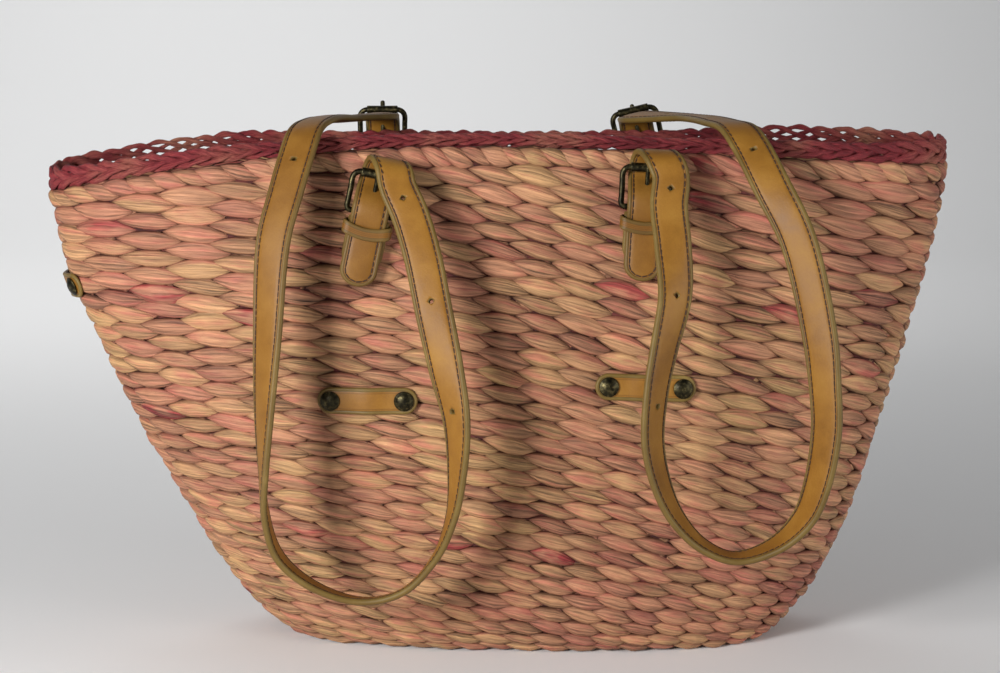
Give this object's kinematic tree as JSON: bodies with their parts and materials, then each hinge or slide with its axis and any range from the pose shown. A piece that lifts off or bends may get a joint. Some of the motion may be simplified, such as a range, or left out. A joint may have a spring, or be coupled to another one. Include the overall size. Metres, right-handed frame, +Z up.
{
  "type": "straw basket bag",
  "caption": "Open oval straw basket bag with flared ends, plaited rim and buckled leather shoulder straps hanging in loops in front.",
  "frame": {"origin": "middle of the basket's flat underside, where it rests", "axes": "+X along the basket's length to the right, +Z up out of its mouth, the strap loops hang on the -Y side"},
  "size_m": [0.502, 0.2152, 0.297],
  "materials": {
    "straw": "twined straw in tan and faded pink",
    "dyed_straw": "plaited straw dyed crimson",
    "leather": "vegetable tanned, olive painted edges",
    "old_brass": "antique, satin"
  },
  "bodies": {
    "root": {"basket_body": "straw", "rim_braid": "dyed_straw", "strap_left": "leather", "strap_right": "leather", "tab_front_left": "leather", "tab_front_right": "leather", "tab_back_left": "leather", "tab_back_right": "leather", "keeper_front_left": "leather", "keeper_front_right": "leather", "keeper_back_left": "leather", "keeper_back_right": "leather", "strip_front_left": "leather", "strip_front_right": "leather", "strip_left_end": "leather", "buckle_frame_front_left": "old_brass", "buckle_frame_front_right": "old_brass", "buckle_frame_back_left": "old_brass", "buckle_frame_back_right": "old_brass", "buckle_roller_front_left": "old_brass", "buckle_roller_front_right": "old_brass", "buckle_roller_back_left": "old_brass", "buckle_roller_back_right": "old_brass", "buckle_tongue_front_left": "old_brass", "buckle_tongue_front_right": "old_brass", "buckle_tongue_back_left": "old_brass", "buckle_tongue_back_right": "old_brass", "rivet_front_left_a": "old_brass", "rivet_front_left_b": "old_brass", "rivet_front_right_a": "old_brass", "rivet_front_right_b": "old_brass", "rivet_left_end_a": "old_brass", "rivet_left_end_b": "old_brass"}
  },
  "joints": []
}
